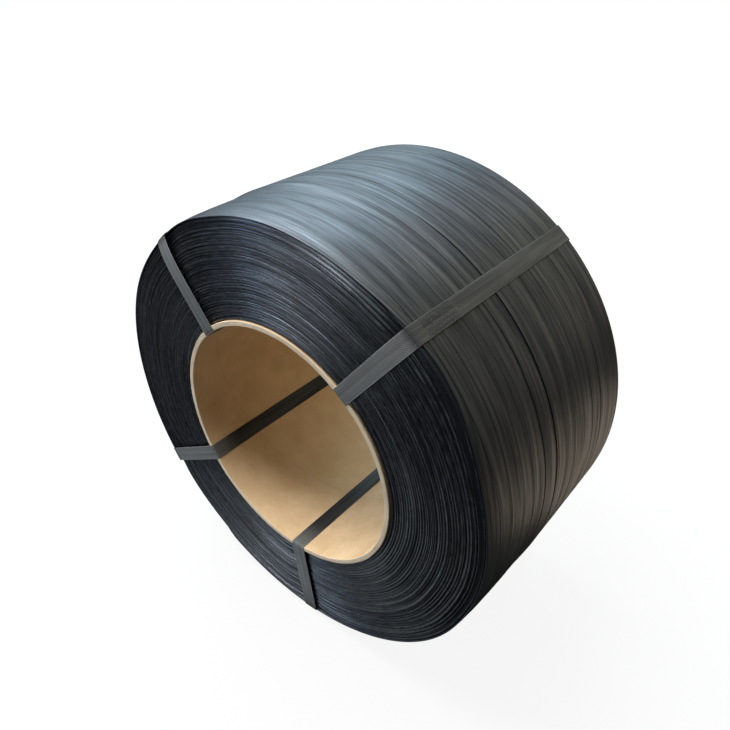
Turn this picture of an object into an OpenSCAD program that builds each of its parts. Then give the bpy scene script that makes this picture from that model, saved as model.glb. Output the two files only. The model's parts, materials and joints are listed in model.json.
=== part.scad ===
// Coil of plastic strapping on a cardboard core, held by four tie straps.
// The coil lies on its side: its axis is Y, its front end faces -Y, and +Z is up.
// The origin is the centre of the core's bore, half way along it.

/* [Core tube] */
// Inside diameter of the cardboard core
core_id = 200; // [150:1:280]
// Wall of the cardboard core
core_wall = 4; // [3:0.5:10]
// Length of the cardboard core
core_len = 190; // [120:1:300]
// Rounding on the core's crushed paper edges
core_edge_r = 1; // [0.5:0.1:1.4]

/* [Winding] */
// Outside diameter over the outermost turns
coil_od = 362; // [300:1:480]
// Width of the wound strap
strap_w = 13.5; // [9:0.5:19]
// Thickness of one layer of the wound strap
strap_t = 0.7; // [0.4:0.05:1.2]
// Gap between two turns that lie side by side
turn_gap = 0.35; // [0.2:0.05:1]
// Depth of the gap between two turns
turn_groove = 0.4; // [0.2:0.05:0.6]
// Layers that stand out together as one ridge on the ends
ridge_layers = 3; // [2:1:6]
// Depth of the groove between two ridges on the ends
ridge_groove = 0.6; // [0.2:0.1:1]
// How far the winding's ends sit inside the core's ends
end_setback = 1; // [0.5:0.1:4]
// Slack between the core and the first layer
winding_fit = 0.1; // [0.05:0.05:0.5]

/* [Winding edges] */
// How far the front end falls back from the core to the rim
front_rim_drop = 1; // [0.5:0.5:8]
// Rounding of the front rim
front_edge_r = 3; // [2:0.5:10]
// How far the back end falls back from the core to the rim
back_rim_drop = 0.5; // [0.5:0.5:8]
// Rounding of the back rim
back_edge_r = 3; // [2:0.5:10]
// Turns at the front that the outermost layers leave bare
bare_turns = 4; // [2:1:7]
// Number of outermost layers that stop short of the front
short_layers = 2; // [1:1:4]
// How much the radius of the bare turns falls off towards the front rim
front_taper = 2.2; // [0.5:0.1:4]

/* [Tie straps] */
// Width of a tie strap
tie_w = 13.5; // [9:0.5:19]
// Thickness of a tie strap
tie_t = 0.4; // [0.3:0.05:0.7]
// Slack between a tie strap and what it is drawn over
tie_gap = 0.05; // [0.02:0.01:0.1]
// Length of the welded lap where a tie strap's ends join
lap_len = 32; // [20:1:50]
// Distance from the front rim's curve to the lap
lap_start = 4; // [2:1:20]
// Angle of the upper right tie strap, clockwise from straight up
tie_angle_upper_right = 38.5; // [20:0.5:60]
// Angle of the bottom tie strap, clockwise from straight up
tie_angle_bottom = 173.5; // [150:0.5:175]
// Angle of the left tie strap, clockwise from straight up
tie_angle_left = 238; // [210:0.5:260]
// Angle of the upper left tie strap, clockwise from straight up
tie_angle_upper_left = 319.5; // [300:0.5:340]

/* [Hidden] */
$fn = 96;
arc_step = 10;

core_ir = core_id / 2;
core_or = core_ir + core_wall;
front_y = -core_len / 2;
back_y = core_len / 2;

winding_ir = core_or + winding_fit;
full_r = coil_od / 2;
bare_r = full_r - short_layers * strap_t;
front_rim_r = bare_r - front_taper;
turn_pitch = strap_w + turn_gap;
end_front_y = front_y + end_setback;
end_back_y = back_y - end_setback;
shoulder_y = end_front_y + bare_turns * turn_pitch;

// A corner is the [radius, y] of its centre and its rounding.
front_rim = [[front_rim_r - front_edge_r, end_front_y + front_rim_drop + front_edge_r], front_edge_r];
back_rim = [[full_r - back_edge_r, end_back_y - back_rim_drop - back_edge_r], back_edge_r];
shoulder = [[full_r, shoulder_y], 0];
core_corners_front = [for (r = [core_ir + core_edge_r, core_or - core_edge_r])
    [[r, front_y + core_edge_r], core_edge_r]];
core_corners_back = [for (r = [core_or - core_edge_r, core_ir + core_edge_r])
    [[r, back_y - core_edge_r], core_edge_r]];
tie_corners = concat(core_corners_front, [front_rim, shoulder, back_rim], core_corners_back);
lap_front_y = front_rim[0].y + lap_start;

// Points on an arc, from angle a0 on to angle a1.
function arc(centre, r, a0, a1) =
    let (n = max(1, ceil((a1 - a0) / arc_step)))
    [for (i = [0:n]) let (a = a0 + (a1 - a0) * i / n) centre + r * [cos(a), sin(a)]];

// Angle of the outward normal on the straight run from one rounded corner to the next.
function run_normal(from, to) =
    let (span = to[0] - from[0])
    atan2(span.y, span.x) - 90 + asin((from[1] - to[1]) / norm(span));

// The same angle a whole turn or more on, so that it follows start.
function angle_after(start, a) = start + ((a - start) % 360 + 360) % 360;

// Outline of a belt drawn tight round the corners, standing off them by a distance.
function belt(corners, off) =
    let (n = len(corners))
    [for (i = [0:n - 1])
        let (a0 = run_normal(corners[(i + n - 1) % n], corners[i]),
             a1 = angle_after(a0, run_normal(corners[i], corners[(i + 1) % n])))
        each arc(corners[i][0], corners[i][1] + off, a0, a1)];

// Ridges of strap edges along an end, from one point out or in to another.
function ridges(from, to, groove) =
    let (n = round(norm(to - from) / (ridge_layers * strap_t)))
    [for (i = [0:n - 1])
        let (step = (to - from) / n, foot = from + i * step)
        each [foot + 0.15 * step, foot + 0.85 * step, foot + step + [0, groove]]];

// Radius of the outer turns at a place along the axis.
function turn_r(y) =
    let (bare_part = (y - front_rim[0].y) / (shoulder_y - front_rim[0].y))
    bare_part < 1 ? front_rim_r + front_taper * bare_part : full_r;

// Grooves between the turns on the outside.
function turn_grooves() =
    [for (y = [end_front_y + turn_pitch:turn_pitch:end_back_y])
        let (y0 = y - turn_gap / 2, y1 = y + turn_gap / 2)
        if (y0 > front_rim[0].y && y1 < back_rim[0].y)
            each [[turn_r(y0), y0], [turn_r(y0) - turn_groove, y], [turn_r(y1), y1]]];

module turned() {
    rotate([-90, 0, 0])
        rotate_extrude()
            children();
}

module rounded_wall(r0, r1, y0, y1, edge) {
    translate([r0, y0 + edge])
        square([r1 - r0, y1 - y0 - 2 * edge]);
    translate([r0 + edge, y0])
        square([r1 - r0 - 2 * edge, y1 - y0]);
    for (r = [r0 + edge, r1 - edge], y = [y0 + edge, y1 - edge])
        translate([r, y])
            circle(edge);
}

module core_tube() {
    color([0.72, 0.55, 0.35])
        turned()
            rounded_wall(core_ir, core_or, front_y, back_y, core_edge_r);
}

module wound_strapping() {
    front_foot = [winding_ir, end_front_y];
    back_foot = [winding_ir, end_back_y];
    color([0.09, 0.1, 0.12])
        turned()
            polygon(concat(
                [front_foot],
                ridges(front_foot, front_rim[0] - [0, front_edge_r], ridge_groove),
                arc(front_rim[0], front_edge_r, -90, 0),
                turn_grooves(),
                arc(back_rim[0], back_edge_r, 0, 90),
                ridges(back_rim[0] + [0, back_edge_r], back_foot, -ridge_groove)));
}

module tie_profile() {
    difference() {
        union() {
            polygon(belt(tie_corners, tie_gap + tie_t));
            intersection() {
                polygon(belt(tie_corners, tie_gap + 2 * tie_t));
                translate([core_or, lap_front_y])
                    square([full_r, lap_len]);
            }
        }
        polygon(belt(tie_corners, tie_gap));
    }
}

module tie_strap(angle) {
    color([0.3, 0.32, 0.34])
        rotate([0, angle, 0])
            intersection() {
                turned()
                    tie_profile();
                translate([-tie_w / 2, -core_len, 0])
                    cube([tie_w, 2 * core_len, coil_od]);
            }
}

core_tube();
wound_strapping();
tie_strap(tie_angle_upper_right);  // tie_strap_upper_right
tie_strap(tie_angle_bottom);  // tie_strap_bottom
tie_strap(tie_angle_left);  // tie_strap_left
tie_strap(tie_angle_upper_left);  // tie_strap_upper_left
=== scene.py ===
"""Looks for a coil of plastic strapping on a cardboard core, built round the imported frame.

The coil's axis is Y, its front end faces -Y, and +Z is up. An angle on the coil is in degrees
clockwise from straight up, seen from the front, so the direction at an angle is (sin, cos) in
X and Z. Lengths are in metres, apart from the few that a comment gives in mm.
"""
import json
import math

import bpy
import numpy as np
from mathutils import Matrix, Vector


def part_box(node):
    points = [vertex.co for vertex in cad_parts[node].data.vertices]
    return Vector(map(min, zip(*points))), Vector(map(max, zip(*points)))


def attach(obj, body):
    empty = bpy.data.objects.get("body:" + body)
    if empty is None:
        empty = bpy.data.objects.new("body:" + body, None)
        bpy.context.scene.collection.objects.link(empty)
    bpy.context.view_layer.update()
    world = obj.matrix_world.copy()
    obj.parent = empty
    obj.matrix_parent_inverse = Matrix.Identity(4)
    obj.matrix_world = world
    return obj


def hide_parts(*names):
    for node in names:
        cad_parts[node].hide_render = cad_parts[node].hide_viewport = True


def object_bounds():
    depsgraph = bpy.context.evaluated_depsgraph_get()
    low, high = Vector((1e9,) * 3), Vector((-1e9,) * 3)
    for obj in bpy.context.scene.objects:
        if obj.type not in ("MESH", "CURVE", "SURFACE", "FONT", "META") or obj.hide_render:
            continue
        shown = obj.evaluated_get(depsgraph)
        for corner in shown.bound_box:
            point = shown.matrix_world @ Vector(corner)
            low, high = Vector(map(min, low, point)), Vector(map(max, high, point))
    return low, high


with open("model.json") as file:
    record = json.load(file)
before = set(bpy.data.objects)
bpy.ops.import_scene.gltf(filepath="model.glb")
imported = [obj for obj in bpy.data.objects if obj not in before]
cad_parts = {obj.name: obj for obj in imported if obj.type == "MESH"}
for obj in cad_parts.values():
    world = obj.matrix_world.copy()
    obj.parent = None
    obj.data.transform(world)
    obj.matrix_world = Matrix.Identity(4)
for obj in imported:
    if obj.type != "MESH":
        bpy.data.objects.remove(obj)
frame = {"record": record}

MM = 0.001
cad_low, cad_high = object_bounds()

# ---------------------------------------------------------------- sizes from the frame
core_low, core_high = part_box("core_tube")
wound_low, wound_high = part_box("wound_strapping")
CORE_OR = core_high.x
BORE_R = frame["record"]["mounts"][0]["dims"]["r_mm"] * MM
CORE_FRONT, CORE_BACK = core_low.y, core_high.y
FULL_R = wound_high.x
END_FRONT, END_BACK = wound_low.y, wound_high.y
TIES = ["tie_strap_upper_right", "tie_strap_bottom", "tie_strap_left", "tie_strap_upper_left"]

# ---------------------------------------------------------------- the strap and how it is wound
# It is drawn a little wider than the real 13.5 mm, so that its turns lie close.
STRAP_W = 13.72 * MM
STRAP_T = 0.7 * MM
PITCH = 13.85 * MM
TURNS = 14
# Turns at the front that the two outermost layers leave bare.
BARE_TURNS = 4
BARE_LAYERS = 2
LAYER_GAP = 0.02 * MM
WINDING_IR = CORE_OR + 0.1 * MM
BARE_R = FULL_R - BARE_LAYERS * STRAP_T
# How much the radius of the bare turns falls off towards the rim, and over what length.
RIM_TAPER = 2.2 * MM
RIM_TAPER_REACH = 15 * MM
SHOULDER = END_FRONT + BARE_TURNS * PITCH
# Every mesh round the coil starts at this angle, which the left tie hides.
SEAM_ANGLE = 238.0
# Angles between which each turn crosses over to the next.
CROSS_OVER = (205.0, 232.0)
# The winding's looks stay about this far inside the box of its CAD solid.
INSIDE = 0.02 * MM

# ---------------------------------------------------------------- how the coil is out of true
# Each bell is a size in mm, its centre on the coil and its width in degrees.
# Where the ties draw the front rim in, the upper right one by far the most.
MOST_DRAWN = (48, 18)
RIM_DRAWN = [(3.0, 15, 40), (8.0, *MOST_DRAWN), (4.6, 319.5, 15)]
RIM_DROP = 0.3
BACK_RIM_DROP = 0.3 * MM
# The ends fall off from the core to the rim with this power of the way.
FALL_POWER = 5
# Flats where the layers cross over near the front end, and how far back they reach.
FLATS = [(1.1, -18, 9), (0.9, 108, 11)]
FLATS_REACH = 60 * MM
# Length of the slope from the bare turns up on to the outermost layer.
SLOPE = 3
SLOPE_WIDENED = [(35, 75, 70)]
# Gaps that have opened: the turn behind one, its width in mm, the angle where it starts to
# open, and the degrees that takes. All of them close again between two angles.
OPEN_GAPS = [(5, 0.7, 30, 30), (6, 1.2, 10, 20), (11, 0.7, 55, 25)]
GAPS_CLOSE = (140, 200)

# ---------------------------------------------------------------- mesh density
END_ANGLES = 224
TURN_ANGLES = 300
CORE_ANGLES = 240


# ================================================================ helpers
def bell(angle, centre, width):
    """A smooth bump round the coil, 1 at its centre."""
    away = (angle - centre + 180) % 360 - 180
    return np.exp(-(away / width) ** 2)


def bells(angle, parts):
    """The sum of several bells, in mm."""
    return sum(size * bell(angle, centre, width) for size, centre, width in parts)


def ease(x):
    """0 below 0, 1 above 1, and smooth between."""
    x = np.clip(x, 0, 1)
    return x * x * (3 - 2 * x)


def once_round(count):
    """Evenly spaced angles once round the coil."""
    return SEAM_ANGLE + np.arange(count) * 360 / count


def wander(rng, angles, count, harmonics=5):
    """Random curves that close on themselves round the coil, about 1 in size, one row each."""
    turns = np.arange(1, harmonics + 1)
    phase = np.radians(angles)[None, None, :] * turns[None, :, None]
    a, b = rng.normal(size=(2, count, harmonics, 1))
    return (a * np.cos(phase) + b * np.sin(phase)).sum(1) / math.sqrt(harmonics)


def short_waves(rng, count, angles, every):
    """Random waves a few points long that close on themselves round the coil, one row each."""
    knots = rng.normal(size=(count, angles // every))
    ahead = np.roll(knots, -1, 1)
    parts = [knots + (ahead - knots) * i / every for i in range(every)]
    return np.stack(parts, -1).reshape(count, angles)


def rows_between(rows, count, every):
    """As many rows as count, with a given row at every so many and the rest in between."""
    at = np.arange(count) / every
    return np.stack([np.interp(at, np.arange(len(rows)), column) for column in rows.T], 1)


def on_coil(angle, r, y):
    """Points at an angle, a radius and a place along the axis."""
    angle = np.radians(angle)
    return np.stack([r * np.sin(angle), y + 0 * r * angle, r * np.cos(angle)], -1)


def tie_angle(node):
    """The angle of a tie strap on the coil."""
    low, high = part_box(node)
    centre = (low + high) / 2
    return math.degrees(math.atan2(centre.x, centre.z))


# ================================================================ meshes
def wrapped(values):
    """Faces that close a loop get one place on the strap after the other, and not a jump back."""
    span = values.max() - values.min()
    jump = values.max(1) - values.min(1) > span / 2
    low = values < (values.max() + values.min()) / 2
    step = np.abs(np.diff(np.unique(np.round(values, 7)))).max() if jump.any() else 0
    return np.where(jump[:, None] & low, values + span + step, values)


def grid_piece(name, points, along, across, closed, materials, flip=False, marks=None):
    """A smooth mesh over a grid of points.

    along and across are each point's place on the strap. closed says whether the rows and the
    columns close into a loop. marks are values at the points that a material reads by name.
    """
    rows, cols = points.shape[:2]
    r0 = np.arange(rows if closed[0] else rows - 1)
    c0 = np.arange(cols if closed[1] else cols - 1)
    r0, c0 = (g.ravel() for g in np.meshgrid(r0, c0, indexing="ij"))
    r1, c1 = (r0 + 1) % rows, (c0 + 1) % cols
    corners = [(r0, c0), (r0, c1), (r1, c1), (r1, c0)]
    if flip:
        corners.reverse()
    faces = np.stack([r * cols + c for r, c in corners], 1)
    mesh = bpy.data.meshes.new(name)
    mesh.from_pydata(points.reshape(-1, 3).tolist(), [], faces.tolist())
    lay = [wrapped(np.stack([place[r, c] for r, c in corners], 1)) for place in (along, across)]
    mesh.uv_layers.new(name="lay").data.foreach_set("uv", np.stack(lay, -1).ravel())
    for label, values in (marks or {}).items():
        attribute = mesh.attributes.new(label, "FLOAT", "POINT")
        attribute.data.foreach_set("value", values.ravel().astype(np.float32))
    mesh.polygons.foreach_set("use_smooth", [True] * len(mesh.polygons))
    for material in materials:
        mesh.materials.append(material)
    piece = bpy.data.objects.new(name, mesh)
    bpy.context.scene.collection.objects.link(piece)
    return piece


def join_frame(piece, node):
    """The piece rides the frame's one body and stands for a CAD node."""
    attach(piece, "root")
    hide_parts(node)


# ================================================================ the form of the winding
def rim_fall(angle):
    """How far the front rim falls back from the end."""
    return (RIM_DROP + bells(angle, RIM_DRAWN)) * MM


def flattening(angle):
    """How far the layers lie inside a true circle at the flats."""
    return bells(angle, FLATS) * MM


def front_fade(y):
    """1 at the front end and 0 from where the flats end."""
    return 1 - ease((y - END_FRONT) / FLATS_REACH)


def bare_r(y, angle):
    """Radius over the bare turns at the front, which falls off towards the rim."""
    behind = np.maximum(y - END_FRONT, 0)
    taper = RIM_TAPER * np.exp(-behind / RIM_TAPER_REACH)
    return BARE_R - taper - flattening(angle) * front_fade(y)


def full_r(y, angle):
    """Radius over the outermost layer."""
    return FULL_R - INSIDE - flattening(angle) * front_fade(y)


def outer_r(y, angle):
    """Radius over the outside: the bare turns, then a slope up on to the outermost layer."""
    slope = (SLOPE + bells(angle, SLOPE_WIDENED)) * MM
    climb = ease((y - SHOULDER) / slope)
    return bare_r(y, angle) * (1 - climb) + full_r(y, angle) * climb


# ================================================================ materials
def new_material(name):
    """A new material, its node tree and its shader."""
    material = bpy.data.materials.new(name)
    material.use_nodes = True
    tree = material.node_tree
    return material, tree, tree.nodes["Principled BSDF"]


def scaled(colour, factor):
    return tuple(c * factor for c in colour)


class Nodes:
    """Short ways to add the nodes that the materials share."""

    def __init__(self, tree):
        self.tree = tree

    def set(self, node, key, value):
        """Feeds an input, by its name or as i and its number, with an output or a value."""
        by_number = key[1:].isdigit()
        socket = node.inputs[int(key[1:])] if by_number else node.inputs[key.replace("_", " ")]
        if isinstance(value, bpy.types.NodeSocket):
            self.tree.links.new(value, socket)
        else:
            socket.default_value = value

    def add(self, kind, **inputs):
        node = self.tree.nodes.new(kind)
        for key, value in inputs.items():
            self.set(node, key, value)
        return node

    def lay(self):
        """Where a point is on its strap or paper: along it and across it."""
        node = self.add("ShaderNodeUVMap")
        node.uv_map = "lay"
        return node.outputs[0]

    def place(self):
        """Where a point is in the piece."""
        return self.add("ShaderNodeTexCoord").outputs["Object"]

    def attribute(self, name):
        node = self.add("ShaderNodeAttribute")
        node.attribute_name = name
        return node.outputs["Fac"]

    def parts(self, vector):
        """The X, Y and Z of a vector."""
        return self.add("ShaderNodeSeparateXYZ", i0=vector).outputs

    def math(self, operation, a, b=0.0):
        node = self.add("ShaderNodeMath", i0=a, i1=b)
        node.operation = operation
        return node.outputs[0]

    def times(self, a, b):
        return self.math("MULTIPLY", a, b)

    def plus(self, a, b):
        return self.math("ADD", a, b)

    def stretched(self, coordinates, scale):
        node = self.add("ShaderNodeMapping", Vector=coordinates)
        node.inputs["Scale"].default_value = scale
        return node.outputs[0]

    def noise(self, coordinates, scale, detail=3.0, roughness=0.55):
        node = self.add("ShaderNodeTexNoise", Vector=coordinates,
                        Scale=scale, Detail=detail, Roughness=roughness)
        return node.outputs["Fac"]

    def grain(self, along, across, detail=3.0, roughness=0.55):
        """Noise with so many waves per metre along the strap or paper, and across it."""
        return self.noise(self.stretched(self.lay(), (along, across, 1)), 1.0, detail, roughness)

    def wave(self, along, across, direction="X"):
        """Stripes over the strap or paper."""
        scale = (along, across, 1)
        node = self.add("ShaderNodeTexWave", Vector=self.stretched(self.lay(), scale), Scale=0.5)
        node.bands_direction = direction
        return node.outputs["Fac"]

    def spread(self, value, low, high, to_low=0.0, to_high=1.0):
        """Stretches the values between low and high to another range, and cuts off the rest."""
        return self.add("ShaderNodeMapRange", Value=value, From_Min=low, From_Max=high,
                        To_Min=to_low, To_Max=to_high).outputs[0]

    def blend(self, fac, a, b):
        """A colour between a and b."""
        node = self.add("ShaderNodeMix")
        node.data_type = "RGBA"
        for key, value in (("i0", fac), ("i6", a), ("i7", b)):
            self.set(node, key, (*value, 1) if isinstance(value, tuple) else value)
        return node.outputs[2]

    def bump(self, height, distance, normal=None, strength=1.0):
        node = self.add("ShaderNodeBump", Height=height, Distance=distance, Strength=strength)
        if normal is not None:
            self.set(node, "Normal", normal)
        return node.outputs[0]


def diamonds(n):
    """The strap's emboss: two sets of slanting stripes that cross."""
    waves = [n.wave(700, 700 * lean, "DIAGONAL") for lean in (1, -1)]
    return n.math("MAXIMUM", *waves)


def tie_marks(n, base, worn, tone, normal):
    """A tie's pale edges, a painted highlight with some wear; its painted shade, darker outside
    and near black in the bore; and the blots and ribs of its weld.
    """
    weld = n.attribute("weld")
    blots = n.spread(n.grain(260, 330, 3.0, 0.6), 0.4, 0.6)
    blotted = n.times(weld, n.spread(blots, 0, 1, 0.25, 0.8))
    tone = n.blend(blotted, tone, scaled(base, 0.45))
    # Pale edges: a painted highlight along both edges, with some wear.
    from_middle = n.math("ABSOLUTE", n.parts(n.lay())[1])
    edge = n.spread(from_middle, 5.6 * MM, 6.3 * MM)
    tone = n.blend(n.times(edge, 0.45), tone, worn)
    # Painted shade: the tie is darker outside and near black deep in the bore, and palest on the
    # ends, which are also the most scuffed.
    tone = n.blend(n.attribute("scuffs_and_painted_shade"), scaled(base, 0.14), tone)
    ribs = n.times(n.plus(n.wave(500, 20), blots), weld)
    return tone, n.bump(ribs, 0.12 * MM, normal)


def strap_material(name, base, worn, roughness, emboss, ripple, mark=None, gloss=1.0):
    """Embossed polypropylene strap: streaks along it, a diamond emboss, dust and scuffs.

    emboss and ripple are heights. mark names a mesh attribute: for rubbed layer edges, paler from
    wear and from painted glints on the crests; for where the strap shines more, a painted
    highlight along the top of the front rim; and "weld" where a tie's ends are welded, which also
    brings the tie's painted highlight along its edges and its painted shade.
    """
    material, tree, shader = new_material(name)
    n = Nodes(tree)
    lines = n.grain(9, 650)
    streaks = n.grain(11, 280, 4.0, 0.65)
    patches = n.grain(10, 110)
    scuffs = n.grain(130, 900, 3.0, 0.65)
    dust = n.noise(n.place(), 26.0, 4.0, 0.6)

    wear_and_painted_glint = n.times(n.spread(scuffs, 0.6, 0.78), 0.4)
    # Paler crests on the ends: wear, and painted glints along the crests.
    if mark == "rub_and_painted_glint":
        wear_and_painted_glint = n.math("MAXIMUM", wear_and_painted_glint, n.times(n.attribute("rub_and_painted_glint"), n.spread(scuffs, 0.42, 0.68)))
    tone = n.blend(n.spread(dust, 0.35, 0.75), base, scaled(base, 1.5))
    tone = n.blend(n.times(n.spread(streaks, 0.3, 0.7), 0.5), tone, scaled(base, 0.55))
    tone = n.blend(wear_and_painted_glint, tone, worn)
    normal = n.bump(lines, 0.09 * MM, n.bump(streaks, ripple))
    normal = n.bump(diamonds(n), emboss, normal)
    if mark == "weld":
        tone, normal = tie_marks(n, base, worn, tone, normal)
    n.set(shader, "Base Color", tone)
    n.set(shader, "Normal", normal)

    uneven = n.spread(streaks, 0.3, 0.7, -0.08, 0.08)
    uneven = n.plus(uneven, n.spread(patches, 0.35, 0.65, -0.04, 0.04))
    n.set(shader, "Roughness", n.plus(n.plus(uneven, roughness), n.times(wear_and_painted_glint, 0.15)))
    shine = n.spread(streaks, 0.38, 0.62, 1.4, 0.6)
    shine = n.times(shine, n.spread(patches, 0.4, 0.6, 1.25, 0.75))
    shine = n.times(shine, n.spread(lines, 0.4, 0.6, 1.25, 0.75))
    # A painted highlight: the strap shines more along the top of the front rim.
    if mark == "painted_highlight":
        shine = n.times(shine, n.spread(n.attribute("painted_highlight"), 0, 1, 1.0, 1.8))
    n.set(shader, "Specular IOR Level", n.times(shine, SPECULAR * gloss))
    return material


def paper_joint(n):
    """1 along the spiral joint between the turns of the core's paper, and 0 beside it."""
    along, across, _ = n.parts(n.lay())
    turn = n.times(along, 1 / (2 * math.pi * BORE_R))
    turn = n.plus(turn, n.times(across, 1 / SPIRAL_LEAD))
    return n.spread(n.math("PINGPONG", turn, 0.5), 0.0, 0.0035, 1.0, 0.0)


def cardboard_material(name, paper, shade, fibre_scale, joint_depth):
    """Kraft board: long fibres, mottling, specks and the faint spiral joint of its paper."""
    material, tree, shader = new_material(name)
    n = Nodes(tree)
    place = n.place()
    fibres = n.grain(*fibre_scale, 5.0, 0.65)
    mottle = n.noise(place, 45.0, 5.0, 0.6)
    blotch = n.noise(place, 9.0, 2.0)
    specks = n.spread(n.noise(place, 900.0, 1.0), 0.66, 0.74)
    joint = paper_joint(n)
    tone = n.blend(n.spread(mottle, 0.3, 0.7), paper, shade)
    tone = n.blend(n.times(n.spread(fibres, 0.5, 0.75), 0.35), tone, scaled(paper, 1.25))
    tone = n.blend(n.times(n.spread(blotch, 0.4, 0.65), 0.3), tone, scaled(shade, 0.8))
    tone = n.blend(n.times(specks, 0.35), tone, scaled(shade, 0.35))
    tone = n.blend(n.times(joint, joint_depth), tone, scaled(shade, 0.45))
    n.set(shader, "Base Color", tone)
    shader.inputs["Roughness"].default_value = 0.85
    shader.inputs["Specular IOR Level"].default_value = 0.25
    normal = n.bump(joint, 0.25 * MM, strength=joint_depth)
    normal = n.bump(fibres, 0.12 * MM, normal)
    n.set(shader, "Normal", n.bump(mottle, 0.1 * MM, normal))
    return material


# How far the core's paper moves along in one turn.
SPIRAL_LEAD = 150 * MM
# Mean specular level of a strap whose gloss is 1.
SPECULAR = 0.49

# The ends' strap edges get a darker base than the flat strap: painted shade for the shade in
# their fine grooves. Their worn colour is partly wear and partly painted glints on the crests.
black_edges = strap_material(
    "black_strap_edges", base=(0.0025, 0.003, 0.0045), worn=(0.055, 0.055, 0.058),
    roughness=0.28, emboss=0.0, ripple=0.05 * MM, mark="rub_and_painted_glint", gloss=1.25)
black_flat = strap_material(
    "black_strap_flat", base=(0.006, 0.007, 0.009), worn=(0.03, 0.032, 0.034),
    roughness=0.44, emboss=0.05 * MM, ripple=0.5 * MM, mark="painted_highlight")
tie_flat = strap_material(
    "tie_strap_flat", base=(0.116, 0.112, 0.101), worn=(0.19, 0.187, 0.175),
    roughness=0.48, emboss=0.12 * MM, ripple=0.15 * MM, mark="weld", gloss=0.5)
kraft = cardboard_material(
    "kraft_bore", paper=(0.68, 0.475, 0.27), shade=(0.57, 0.37, 0.19),
    fibre_scale=(160, 900), joint_depth=0.25)
kraft_cut = cardboard_material(
    "kraft_cut", paper=(0.72, 0.56, 0.38), shade=(0.61, 0.465, 0.295),
    fibre_scale=(60, 2500), joint_depth=0.0)


# ================================================================ strap edges on the ends
# Where a layer's edge has points, as shares of its thickness, and where a ridge has its crest.
SHOULDERS = np.array([0.14, 0.8, 0.97])
CREST = 0.75
# How far layers stand out, in mm. First each ridge, its waves round the coil and the swell
# over several, and then each layer, its long waves and its short ones.
RIDGE_OUT = 0.22
RIDGE_WAVES = 0.12
SWELL = 0.2
LAYER_OUT = 0.05
LAYER_WAVES = 0.05
LAYER_SHORT_WAVES = 0.045
# Depth of the lines between the layers, in mm: between two ridges, within one, and its waves.
RIDGE_LINE = 0.5
LAYER_LINE = 0.05
LINE_WAVES = 0.06
# How fast the rubbing, with its painted glints, falls off beside a ridge's crest.
RUB_AND_GLINT_FALL = 2.5
# The outermost layers stand out and lie back by turns, two and two. How far they and the other
# held back layers lie back is in mm.
RIM_LINES = 12
HELD_BACK = 1.1
# Rings of layers that lie back, as their radius and how far on each side of it they reach.
HELD_BACK_RINGS = [(146 * MM, STRAP_T / 2), (167 * MM, STRAP_T)]
# Mean radius of the ends, by which an angle becomes a length along the strap.
END_R = 0.14
# The flats are full from this share of the way from the core to the rim.
FULL_FLAT = 0.25
# How far the last layer's face goes down behind the rim.
RIM_HEM = 4 * MM
# How far the ends lie in all round.
END_DEPTH = 0.25 * MM
# How far the ties press the ends in, how far that is off a tie's middle and how wide, in
# degrees, and what part of it is missing where the rim is drawn in the most.
PRESS = 2.2 * MM
PRESS_OFF = 1
PRESS_WIDTH = 5
PRESS_LESS = 0.75


def ridge_groups(rng, layers):
    """Ridges of two to four layers: each layer's ridge, its place across it and its share."""
    sizes = rng.choice([2, 3, 3, 4], layers)
    ridge = np.repeat(np.arange(layers), sizes)[:layers]
    first = np.searchsorted(ridge, ridge)
    return ridge, (np.arange(layers) - first) / sizes[ridge], 1 / sizes[ridge]


def stand_out(rng, angles, ridge):
    """How far each layer stands out, in mm: its ridge, a swell over several, and itself."""
    layers = len(ridge)
    ridges = ridge.max() + 1
    ridge_out = RIDGE_OUT * rng.normal(size=(ridges, 1))
    ridge_out = ridge_out + RIDGE_WAVES * wander(rng, angles, ridges)
    swell = rows_between(SWELL * wander(rng, angles, ridges // 3 + 2), ridges, 3)
    layer_out = LAYER_OUT * rng.normal(size=(layers, 1))
    layer_out = layer_out + LAYER_WAVES * wander(rng, angles, layers, 9)
    layer_out += LAYER_SHORT_WAVES * short_waves(rng, layers, len(angles), 2)
    return (ridge_out + swell)[ridge] + layer_out


def held_back_layers(rng, r, ridge, place):
    """Which layers lie back: half of the ridges' first ones, two rings, and some at the rim."""
    held_back = (rng.random(ridge.max() + 1) < 0.5)[ridge] & (place == 0)
    middle = r[:-1].mean(1)
    for ring, reach in HELD_BACK_RINGS:
        held_back |= np.abs(middle - ring) < reach
    held_back[-RIM_LINES:] = (np.arange(RIM_LINES) % 4 < 2)[::-1]
    return held_back


def ridge_profile(across):
    """How far a ridge falls off from its crest, in mm. It is steeper on the core's side."""
    inner = -np.abs(1 - across / CREST) ** 1.1
    outer = -0.06 * (across - CREST) / (1 - CREST)
    return np.where(across < CREST, inner, outer)


def edge_lines(rng, angles, r):
    """How far each layer's edge stands out, how deep the groove inside it is, and how rubbed,
    with painted glints on the crest.
    """
    layers = len(r) - 1
    ridge, place, share = ridge_groups(rng, layers)
    out = stand_out(rng, angles, ridge)
    held_back = held_back_layers(rng, r, ridge, place)
    out = out - HELD_BACK * held_back[:, None]
    across = place[:, None] + share[:, None] * SHOULDERS
    out = out[:, None] + ridge_profile(across)[..., None]
    depth = np.where(place == 0, RIDGE_LINE, LAYER_LINE)[:, None]
    depth = depth + LINE_WAVES * np.abs(wander(rng, angles, layers, 3))
    # Rubbed crests carry painted glints as well; held back layers get neither.
    rub_and_painted_glint = np.clip(1 - RUB_AND_GLINT_FALL * np.abs(across - CREST), 0, 1) * (1 - held_back)[:, None]
    return out * MM, depth * MM, rub_and_painted_glint


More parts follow.
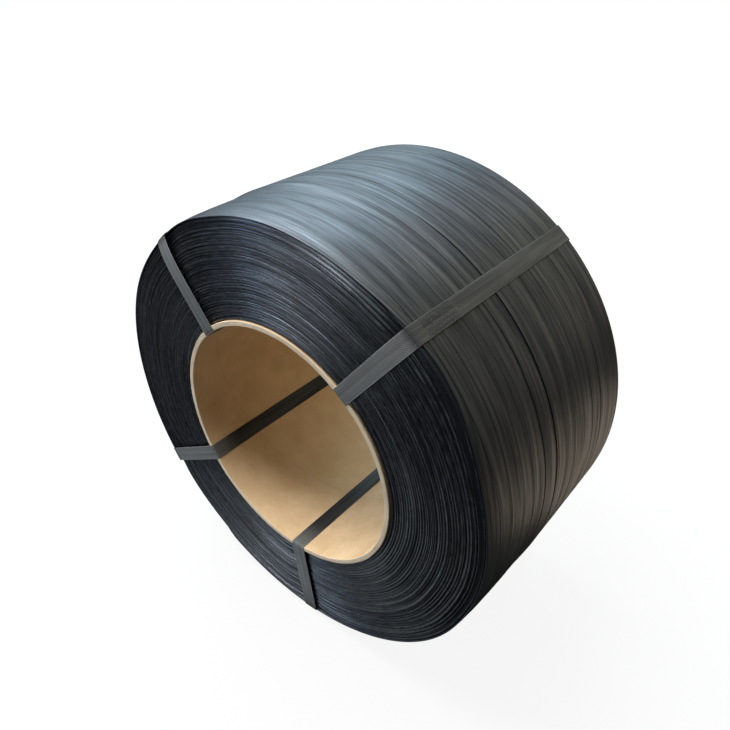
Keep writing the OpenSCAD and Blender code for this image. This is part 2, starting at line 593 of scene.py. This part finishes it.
def pressed_in(angle):
    """How far the ties press the ends in. It is least where the rim is drawn in the most."""
    by_ties = sum(bell(angle, tie_angle(node) + PRESS_OFF, PRESS_WIDTH) for node in TIES)
    return PRESS * by_ties * (1 - PRESS_LESS * bell(angle, *MOST_DRAWN))


def layer_radii(side, angles):
    """Radius of the line between each layer and the next on an end, and its share of the way."""
    rim = bare_r(END_FRONT, angles) if side < 0 else full_r(END_BACK, angles)
    rim = rim - STRAP_T - LAYER_GAP
    layers = round((rim.mean() - WINDING_IR) / STRAP_T)
    share = np.arange(layers + 1)[:, None] / layers
    r = WINDING_IR + (rim - WINDING_IR)[None] * share
    if side < 0:
        give = np.minimum(share / FULL_FLAT, 1) - share
        r = r - flattening(angles)[None] * give
    return r, share


def strap_edges(name, side, seed):
    """One end of the winding: the strap's edge in every layer. side is -1 at the front."""
    rng = np.random.default_rng(seed)
    angles = once_round(END_ANGLES)
    r, share = layer_radii(side, angles)
    out, depth, rub_and_painted_glint = edge_lines(rng, angles, r)
    fall = rim_fall(angles) if side < 0 else np.full(END_ANGLES, BACK_RIM_DROP)
    fall = fall[None] * share[:-1] ** FALL_POWER
    out = np.minimum(out - END_DEPTH - pressed_in(angles), -INSIDE) - fall[:, None]

    layer_before = np.concatenate([out[:1, 0], out[:-1, -1]])
    foot = np.stack([r[:-1], np.minimum(out[:, 0], layer_before) - depth], -1)[:, None]
    step = (r[1:] - r[:-1])[:, None]
    shoulders = np.stack([r[:-1, None] + SHOULDERS[None, :, None] * step, out], -1)
    rings = np.concatenate([foot, shoulders], 1).reshape(-1, END_ANGLES, 2)
    hem = np.stack([r[-1], rings[-1, :, 1] - RIM_HEM], -1)[None]
    rings = np.concatenate([rings, hem])

    end = END_FRONT if side < 0 else END_BACK
    points = on_coil(angles[None], rings[..., 0], end + side * rings[..., 1])
    along = np.radians(angles)[None] * END_R + 0 * rings[..., 0]
    rub_and_painted_glint = np.append(np.pad(rub_and_painted_glint, ((0, 0), (1, 0))), 0)[:, None] + 0 * rings[..., 0]
    piece = grid_piece(name, points, along, rings[..., 0], (False, True), [black_edges],
                       flip=side > 0, marks={"rub_and_painted_glint": rub_and_painted_glint})
    join_frame(piece, "wound_strapping")


# ================================================================ turns round the outside
# Points over the face of the strap's section, and which of its points round off its edges.
FACE_POINTS = 9
EDGE_POINTS = [0, 1, 2, 3 + FACE_POINTS, 4 + FACE_POINTS, 5 + FACE_POINTS]
# How far the points that round off an edge lie in from it, and how far below the face. The
# face and the underside start a little way in from the edge.
EDGE_IN = np.array([0.25, 0.08, 0]) * MM
EDGE_BELOW = np.array([0.01, 0.06, 0.2]) * MM
FACE_IN = 0.5 * MM
UNDERSIDE_IN = 0.1 * MM
# Steps along the strap from one knot of its random waves to the next, and the waves' sizes:
# of its middle to the side, of its whole face up and down, and of the points across its face.
KNOT_STEPS = 22
SIDE_WAVES = 0.07 * MM
FACE_WAVES = 0.05 * MM
POINT_WAVES = 0.05 * MM
# The turns before this one lie snug: a little wider, and with edges that are less round.
SNUG_TURNS = 2.5
SNUG_WIDER = 0.008
SNUG_SHARPER = 0.55
# The front turn lies this much behind the rim. Where the rim falls back, the turn lies in
# under the next one: by what share of the strap's thickness, from what fall and over how much.
BEHIND_RIM = 0.1 * MM
RIM_TUCK = 0.35
RIM_TUCK_FROM = 2.5 * MM
RIM_TUCK_REACH = 3 * MM
# Where the last turn would come nearer than this to the back end, it is moved in under its
# neighbour: by what share of the strap's thickness, and over how much.
BACK_MARGIN = 0.4 * MM
BACK_TUCK = 0.5
BACK_TUCK_REACH = 2 * MM
# Where the strap shines more, a painted highlight along the top of the front rim: round the coil
# (centre and width), and back from the front end.
PAINTED_HIGHLIGHT_ANGLE = (2, 17)
PAINTED_HIGHLIGHT_DEPTH = 11 * MM
PAINTED_HIGHLIGHT_FADE = 5 * MM
# The layer below starts and stops this far in from the ends. The gaps between its own turns
# are so deep, and so wide on each side of their middle.
LAYER_START = 2 * MM
LAYER_STOP = 1 * MM
OWN_GAP_DEPTH = 0.9 * MM
OWN_GAP_SIDE = 0.2 * MM


def strap_section():
    """Places across a strap's section and how far each lies below its face."""
    half = STRAP_W / 2
    face = np.linspace(-1, 1, FACE_POINTS) * (half - FACE_IN)
    foot = half - UNDERSIDE_IN
    across = np.concatenate([-half + EDGE_IN[::-1], face, half - EDGE_IN, [foot, -foot]])
    below = np.concatenate([EDGE_BELOW[::-1], 0 * face, EDGE_BELOW, [STRAP_T, STRAP_T]])
    return across, below


def ripples(rng, steps, size, count=1):
    """Random waves along a strap, one column each."""
    knots = np.arange(steps[-1] // KNOT_STEPS + 2) * KNOT_STEPS
    heights = size * rng.normal(size=(count, len(knots)))
    return np.stack([np.interp(steps, knots, row) for row in heights], 1)


def crossed_over(angle):
    """How far a turn has crossed over to the next, from 0 to 1."""
    first, last = CROSS_OVER
    return ease(((angle - SEAM_ANGLE) % 360 + SEAM_ANGLE - 360 - first) / (last - first))


def parting(whole, angle):
    """How far the turns lie apart where gaps have opened on the side that faces the camera."""
    side = (angle + 180) % 360 - 180
    first, last = GAPS_CLOSE
    still_open = 1 - ease((side - first) / (last - first))
    return sum(width * MM * (whole >= turn) * ease((side - start) / reach) * still_open
               for turn, width, start, reach in OPEN_GAPS)


def drawn_back(turn, angle):
    """How far back the front turn lies, so that it follows the rim."""
    return (rim_fall(angle) + BEHIND_RIM) * np.clip(1 - turn, 0, 1)


def tucked(turn, angle, past_end):
    """How far the first turn lies in under the next, and the last one under its neighbour."""
    at_rim = RIM_TUCK * STRAP_T * ease((rim_fall(angle) - RIM_TUCK_FROM) / RIM_TUCK_REACH)
    at_back = BACK_TUCK * STRAP_T * ease(past_end / BACK_TUCK_REACH)
    return at_rim * np.clip(1 - turn, 0, 1) + at_back


def rim_painted_highlight(y, angle):
    """How much more the strap shines along the front rim at the top: a painted highlight."""
    return bell(angle, *PAINTED_HIGHLIGHT_ANGLE) * (1 - ease((y - END_FRONT - PAINTED_HIGHLIGHT_DEPTH) / PAINTED_HIGHLIGHT_FADE))


def outer_turns():
    """The strap that is seen round the outside, from the front rim to the back, as one strap."""
    rng = np.random.default_rng(11)
    steps = np.arange(TURNS * TURN_ANGLES + 1)
    angle = SEAM_ANGLE + steps * 360 / TURN_ANGLES
    whole = np.minimum(steps // TURN_ANGLES, TURNS - 1)
    turn = whole + crossed_over(angle)
    centre = END_FRONT + PITCH * (turn + 0.5) + parting(whole, angle) + drawn_back(turn, angle)
    centre = centre + ripples(rng, steps, SIDE_WAVES)[:, 0]
    past_end = centre + STRAP_W / 2 - END_BACK + BACK_MARGIN
    centre = centre - np.maximum(past_end, 0)

    snug = 1 - ease(turn - SNUG_TURNS)[:, None]
    across, below = strap_section()
    y = centre[:, None] + across[None] * (1 + SNUG_WIDER * snug)
    below = np.tile(below, (len(steps), 1))
    below[:, 3:3 + FACE_POINTS] += np.abs(ripples(rng, steps, POINT_WAVES, FACE_POINTS))
    below[:, EDGE_POINTS] *= 1 - SNUG_SHARPER * snug
    r = outer_r(y, angle[:, None]) + ripples(rng, steps, FACE_WAVES) - below
    r = r - tucked(turn, angle, past_end)[:, None]
    r = np.minimum(r, FULL_R - INSIDE / 2)

    along = np.radians(angle - SEAM_ANGLE)[:, None] * FULL_R + 0 * r
    points = on_coil(angle[:, None], r, y)
    # Its mark gives the painted highlight along the top of the front rim.
    piece = grid_piece("outer_turns", points, along, across[None] + 0 * r, (False, True),
                       [black_flat], flip=True, marks={"painted_highlight": rim_painted_highlight(y, angle[:, None])})
    join_frame(piece, "wound_strapping")


def layer_below():
    """The layer below the turns, which shows in the gaps between them.

    The gaps between its own turns lie under the middles of the turns above.
    """
    angles = once_round(TURN_ANGLES)
    back = END_BACK - LAYER_STOP
    y = [END_FRONT + LAYER_START]
    for middle in END_FRONT + PITCH * (np.arange(TURNS) + 0.5):
        y += [middle - OWN_GAP_SIDE, middle, middle + OWN_GAP_SIDE]
    y = np.array([place for place in y if place < back] + [back])
    dip = np.where(np.arange(len(y)) % 3 == 2, OWN_GAP_DEPTH, 0)
    dip[-1] = 0
    is_first = (np.arange(len(y)) == 0)[:, None]
    y = y[:, None] + rim_fall(angles)[None] * is_first
    r = outer_r(y, angles[None]) - STRAP_T - 2 * LAYER_GAP - dip[:, None]
    along = np.radians(angles)[None] * FULL_R + 0 * r
    piece = grid_piece("layer_below", on_coil(angles[None], r, y), along, y, (False, True),
                       [black_flat], flip=True)
    join_frame(piece, "wound_strapping")


# ================================================================ tie straps
TIE_W = 13.5 * MM
TIE_T = 0.4 * MM
TIE_GAP = 0.05 * MM
TIE_STEP = 1.5 * MM
# Where a tie's lap starts and ends, back from the rim. At its tips it is this share as thick
# as the tie, and the full thickness is reached over the second share of its length.
LAP = (8 * MM, 40 * MM)
LAP_TIP = 0.12
LAP_TAPER = 0.12
# A lap is sunk this far into its loop, and its weld fades over this share at each end.
LAP_SUNK = 0.01 * MM
WELD_FADE = 0.1
# How far a tie's line stands off the front and off the turns, and how far in from the core's
# wall and from the rim it starts to touch them.
OFF_FRONT = 0.05 * MM
OFF_TURNS = 0.08 * MM
FRONT_START = 2 * MM
TURNS_START = 1 * MM
# Rounding of the core's worn edges under the ties.
WORN_EDGE = 1 * MM
# How much painted shade darkens a tie in the bore, and outside, where it is also less scuffed.
PAINTED_SHADE_IN_BORE = 0.98
PAINTED_SHADE_OUTSIDE = 0.77
# A tie's section: places across it over its face and back again below, and which are on top.
TIE_EDGE = np.array([0, 0.1, 0.35, 2.2, 6.75]) * MM
TIE_FACE = np.concatenate([TIE_EDGE - TIE_W / 2, TIE_W / 2 - TIE_EDGE[-2::-1]])
TIE_ACROSS = np.concatenate([TIE_FACE, TIE_FACE[-2:0:-1]])
TIE_UP = np.array([0.5] + [0] * 7 + [0.5] + [1] * 7)


def turns_left(a, b, c):
    """Whether the way from a over b to c bends to the left."""
    return np.cross(np.subtract(b, a), np.subtract(c, b)) > 0


def hull_of(points):
    """Convex outline of points, once round."""
    points = sorted(map(tuple, points))
    outline = []
    for run in (points, points[::-1]):
        part = []
        for p in run:
            while len(part) > 1 and not turns_left(part[-2], part[-1], p):
                part.pop()
            part.append(p)
        outline += part[:-1]
    return np.array(outline)


def round_points(centre_r, centre_y, radius):
    """Points on a circle, as (radius, y)."""
    turn = np.radians(np.arange(0, 360, 15))
    return np.stack([centre_r + radius * np.cos(turn), centre_y + radius * np.sin(turn)], 1)


def evenly_spaced(outline, step):
    """Points about a step apart on a closed outline."""
    closed = np.vstack([outline, outline[:1]])
    pieces = np.linalg.norm(np.diff(closed, axis=0), axis=1)
    length = np.concatenate([[0], np.cumsum(pieces)])
    count = round(length[-1] / step)
    at = np.arange(count) * length[-1] / count
    return np.stack([np.interp(at, length, closed[:, i]) for i in range(2)], 1)


def tie_line(angle):
    """The closed line that a tie's inner face follows, as (radius, y), drawn tight round all."""
    r = np.linspace(WINDING_IR + FRONT_START, BARE_R, 40)
    share = (r - WINDING_IR) / (r[-1] - WINDING_IR)
    fall = rim_fall(angle) * share ** FALL_POWER
    face = np.stack([r, END_FRONT + OFF_FRONT + fall], 1)[:-1]
    y = np.linspace(END_FRONT + TURNS_START + rim_fall(angle), END_BACK, 60)
    outside = np.stack([np.minimum(outer_r(y, angle) + OFF_TURNS, FULL_R), y], 1)
    corners = [round_points(radius, end, WORN_EDGE)
               for radius in (BORE_R + WORN_EDGE, CORE_OR - WORN_EDGE)
               for end in (CORE_FRONT + WORN_EDGE, CORE_BACK - WORN_EDGE)]
    return evenly_spaced(hull_of(np.concatenate([face, outside, *corners])), TIE_STEP)


def outward(line):
    """Unit normals of a closed line that runs once round, pointing out of it."""
    ahead = np.roll(line, -1, 0) - np.roll(line, 1, 0)
    normal = np.stack([ahead[:, 1], -ahead[:, 0]], 1)
    return normal / np.linalg.norm(normal, axis=1)[:, None]


def band(line, normal, low, high, angle):
    """A tie's section at every point of a line: a ring of points round it."""
    height = low[:, None] + (high - low)[:, None] * TIE_UP[None]
    r = line[:, :1] + normal[:, :1] * height
    y = line[:, 1:] + normal[:, 1:] * height
    out = np.sqrt(np.maximum(r ** 2 - TIE_ACROSS[None] ** 2, 0))
    turn = math.radians(angle)
    x = out * math.sin(turn) + TIE_ACROSS[None] * math.cos(turn)
    z = out * math.cos(turn) - TIE_ACROSS[None] * math.sin(turn)
    return np.stack([x, y + 0 * x, z], -1)


def scuffs_and_painted_shade(line):
    """How pale a tie is along its line, from scuffs and painted shade: most on the ends, less
    outside, and hardly in the bore, where painted shade makes it near black.
    """
    depth = np.minimum(line[:, 1] - CORE_FRONT, CORE_BACK - line[:, 1])
    bore = ease((BORE_R + 2 * MM - line[:, 0]) / (2 * MM)) * ease(depth / (30 * MM))
    outside = ease((line[:, 0] - BARE_R + 8 * MM) / (6 * MM))
    return 1 - PAINTED_SHADE_IN_BORE * bore - PAINTED_SHADE_OUTSIDE * outside


def tie_piece(name, node, points, closed, weld, scuffs):
    """One layer of a tie, with marks for its weld and for its scuffs and painted shade at each
    point of its line.
    """
    along = np.arange(len(points))[:, None] * TIE_STEP + 0 * points[..., 0]
    across = TIE_ACROSS[None] + 0 * points[..., 0]
    marks = {"weld": weld[:, None] + 0 * across, "scuffs_and_painted_shade": scuffs[:, None] + 0 * across}
    piece = grid_piece(name, points, along, across, (closed, True), [tie_flat], marks=marks)
    join_frame(piece, node)


def tie_strap(node):
    """One tie: a closed loop, and the second layer where its ends are lapped and welded."""
    angle = tie_angle(node)
    line = tie_line(angle)
    normal = outward(line)
    inner = np.full(len(line), TIE_GAP)
    loop = band(line, normal, inner, inner + TIE_T, angle)
    tie_piece(node + "_loop", node, loop, True, 0 * inner, scuffs_and_painted_shade(line))

    back = line[:, 1] - END_FRONT - rim_fall(angle)
    on_lap = np.flatnonzero((line[:, 0] > BARE_R - 6 * MM) & (back > LAP[0]) & (back < LAP[1]))
    share = np.linspace(0, 1, len(on_lap))
    thick = LAP_TIP + (1 - LAP_TIP) * ease(np.minimum(share, 1 - share) / LAP_TAPER)
    foot = inner[on_lap] + TIE_T
    lap = band(line[on_lap], normal[on_lap], foot - LAP_SUNK, foot + TIE_T * thick, angle)
    weld = ease(share / WELD_FADE) * ease((1 - share) / WELD_FADE)
    tie_piece(node + "_lap", node, lap, False, weld, scuffs_and_painted_shade(line[on_lap]))


# ================================================================ cardboard core
PLIES = 5
# Points across each ply on a cut end.
PLY_POINTS = 4
# The walls end this far inside the cuts, and the bore's wall has so many rings.
CUT_DEPTH = 1 * MM
BORE_RINGS = 40
# The cut ends' relief, in mm: the lines between plies, the worn corners, and the roughness
# and the fraying, each with the most waves that it has round the coil.
PLY_LINE = 0.12
WORN_CORNER = 0.25
ROUGH = (0.06, 30)
FRAY = (0.1, 16)
# Faces that lean further than this towards an end belong to the cut.
CUT_LEAN = 0.35


def cut_end(end, side, rough, fray):
    """The cut end of the core, from the bore out: plies as fine rings, and frayed edges."""
    share = np.linspace(0, 1, PLIES * PLY_POINTS + 1)
    to_edge = np.abs(2 * share - 1)
    between_plies = np.arange(len(share)) % PLY_POINTS == 0
    dish = PLY_LINE * between_plies + WORN_CORNER * to_edge ** 4
    inwards = np.abs(dish[:, None] + rough) * MM
    edge = to_edge[:, None] ** 8 * np.abs(fray)[None] * MM
    y = end - side * (inwards + edge)
    r = BORE_R + (CORE_OR - BORE_R) * share[:, None] + 0 * y
    return np.stack([r, y], -1)


def wall_rings(radius, places, angles):
    """Rings of a smooth wall, one at each place along the axis."""
    return [np.stack([radius + 0 * angles, y + 0 * angles], -1) for y in places]


def core_board():
    """The core: smooth walls between two cut ends, whose faces have their own material."""
    rng = np.random.default_rng(31)
    angles = once_round(CORE_ANGLES)
    rough = ROUGH[0] * wander(rng, angles, PLIES * PLY_POINTS + 1, ROUGH[1])
    fray = FRAY[0] * wander(rng, angles, 2, FRAY[1])
    front = cut_end(CORE_FRONT, -1, rough, fray[0])
    back = cut_end(CORE_BACK, 1, rough, fray[1])[::-1]
    low, high = CORE_FRONT + CUT_DEPTH, CORE_BACK - CUT_DEPTH
    outer = wall_rings(CORE_OR, (low, high), angles)
    bore = wall_rings(BORE_R, np.linspace(high, low, BORE_RINGS), angles)
    loop = np.concatenate([front, outer, back, bore])

    points = on_coil(angles[None], loop[..., 0], loop[..., 1])
    along = np.radians(angles)[None] * BORE_R + 0 * loop[..., 0]
    across = loop[..., 1].mean(1)[:, None] + loop[..., 0]
    piece = grid_piece("core_board", points, along, across, (True, True), [kraft, kraft_cut])
    is_cut = [int(abs(face.normal.y) > CUT_LEAN) for face in piece.data.polygons]
    piece.data.polygons.foreach_set("material_index", is_cut)
    join_frame(piece, "core_tube")


# ================================================================ stage, light and camera
AIM = Vector((-5.0, 11.5, 17.4)) * MM
AZIMUTH = 39.716
ELEVATION = 34.635
DISTANCE = 550.5 * MM
LENS = 32.21
FLOOR_REACH = 6.0
# How bright the camera sees the floor near the coil, and between what distances from its
# middle that rises to plain white.
FLOOR_GLOW = 0.9
FLOOR_FADE = (0.3, 1.0)
# The faint light that the world sheds on the object.
WORLD_COLOUR = (0.92, 0.96, 1.0, 1)
WORLD_STRENGTH = 0.04
# Lamps round the object: azimuth, elevation, distance, width, height, power and colour.
LAMPS = {
    "window_right": (210, 42, 2.6, 0.8, 0.8, 15, (0.56, 0.85, 1.0)),
    "window_middle": (225, 42, 2.6, 0.8, 0.8, 12.5, (0.63, 0.74, 1.0)),
    "window_low": (225, 25, 2.6, 0.8, 0.8, 5, (0.66, 0.95, 1.0)),
    "window_left": (240, 26, 2.6, 0.8, 0.8, 10, (0.56, 0.80, 1.0)),
    "sky": (180, 45, 2.6, 0.8, 0.8, 7, (0.70, 0.74, 1.0)),
    "room": (164, 47, 2.4, 1.8, 1.4, 7.8, (0.95, 1.0, 0.6)),
    "front_left": (-45, 12, 2.0, 0.75, 0.6, 6.5, (0.52, 0.70, 1.0)),
    "front": (-25, 12, 2.0, 0.75, 0.6, 14, (0.76, 0.845, 1.0)),
    "front_right": (-5, 12, 2.0, 0.75, 0.6, 2, (0.80, 0.96, 1.0)),
    "top_left": (-77, 66, 2.0, 1.25, 1.8, 112, (0.92, 0.96, 1.0)),
    "warm_wall": (142, 18, 2.2, 2.4, 1.6, 7, (1.0, 0.93, 0.78)),
}
# Lamps close over the floor that shine up, as light from a pale floor does: place in X and
# in Y, width, depth, power and colour.
CARDS = {
    "warm_card": (0.38, 0.33, 0.36, 0.42, 0.36, (1.0, 0.83, 0.63)),
    "front_card": (-0.08, -0.15, 0.24, 0.09, 0.042, (0.76, 0.92, 1.0)),
}
CARD_HEIGHT = 10 * MM


def direction(azimuth, elevation):
    """Unit vector from the object to a place round it. Azimuth 0 is in front, 90 to the right."""
    a, e = math.radians(azimuth), math.radians(elevation)
    return Vector((math.sin(a) * math.cos(e), -math.cos(a) * math.cos(e), math.sin(e)))


def add_camera():
    camera = bpy.data.objects.new("camera", bpy.data.cameras.new("camera"))
    bpy.context.scene.collection.objects.link(camera)
    back = direction(AZIMUTH, ELEVATION)
    camera.location = AIM + back * DISTANCE
    camera.rotation_mode = "QUATERNION"
    camera.rotation_quaternion = (-back).to_track_quat("-Z", "Y")
    camera.data.lens = LENS
    camera.data.sensor_width = 36
    camera.data.clip_start = 0.01
    camera.data.clip_end = 50
    bpy.context.scene.camera = camera


def area_light(name, location, size, power, colour, back):
    """A soft lamp that shines away from back."""
    data = bpy.data.lights.new(name, "AREA")
    data.shape = "RECTANGLE"
    data.size, data.size_y = size
    data.energy = power
    data.color = colour
    lamp = bpy.data.objects.new(name, data)
    bpy.context.scene.collection.objects.link(lamp)
    lamp.location = location
    lamp.rotation_mode = "QUATERNION"
    lamp.rotation_quaternion = back.to_track_quat("Z", "Y")
    lamp.visible_camera = False


def add_lamps():
    for name, (azimuth, elevation, distance, width, height, power, colour) in LAMPS.items():
        place = direction(azimuth, elevation) * distance
        area_light(name, place, (width, height), power, colour, place)
    for name, (x, y, width, depth, power, colour) in CARDS.items():
        place = Vector((x, y, cad_low.z + CARD_HEIGHT))
        area_light(name, place, (width, depth), power, colour, Vector((0, 0, -1)))


def floor_material():
    """Dark, so that the lamps hardly show on it, and near white to the camera."""
    material, tree, shader = new_material("pale_floor")
    shader.inputs["Base Color"].default_value = (0.045, 0.044, 0.042, 1)
    shader.inputs["Roughness"].default_value = 0.9
    shader.inputs["Specular IOR Level"].default_value = 0.1
    shader.inputs["Emission Color"].default_value = (1, 1, 1, 1)
    n = Nodes(tree)
    length = n.add("ShaderNodeVectorMath", i0=n.place())
    length.operation = "LENGTH"
    glow = n.spread(length.outputs["Value"], *FLOOR_FADE, FLOOR_GLOW, 1.0)
    seen = n.add("ShaderNodeLightPath").outputs["Is Camera Ray"]
    n.set(shader, "Emission Strength", n.times(seen, glow))
    return material


def add_floor():
    mesh = bpy.data.meshes.new("floor")
    corners = [(-1, -1), (1, -1), (1, 1), (-1, 1)]
    mesh.from_pydata([(x * FLOOR_REACH, y * FLOOR_REACH, cad_low.z) for x, y in corners],
                     [], [(0, 1, 2, 3)])
    mesh.materials.append(floor_material())
    floor = bpy.data.objects.new("floor", mesh)
    bpy.context.scene.collection.objects.link(floor)


def add_world():
    """White to the camera, and a faint light on everything else."""
    world = bpy.data.worlds.new("world")
    world.use_nodes = True
    bpy.context.scene.world = world
    tree = world.node_tree
    shown = tree.nodes["Background"]
    shown.inputs["Color"].default_value = (1, 1, 1, 1)
    lit = tree.nodes.new("ShaderNodeBackground")
    lit.inputs["Color"].default_value = WORLD_COLOUR
    lit.inputs["Strength"].default_value = WORLD_STRENGTH
    mix = tree.nodes.new("ShaderNodeMixShader")
    path = tree.nodes.new("ShaderNodeLightPath")
    tree.links.new(path.outputs["Is Camera Ray"], mix.inputs[0])
    tree.links.new(lit.outputs[0], mix.inputs[1])
    tree.links.new(shown.outputs[0], mix.inputs[2])
    tree.links.new(mix.outputs[0], tree.nodes["World Output"].inputs[0])


# ================================================================ build it
add_camera()
add_floor()
add_world()
add_lamps()

core_board()
strap_edges("strap_edges_front", side=-1, seed=5)
strap_edges("strap_edges_back", side=1, seed=6)
outer_turns()
layer_below()
for tie in TIES:
    tie_strap(tie)

bpy.context.scene.view_settings.view_transform = "Standard"
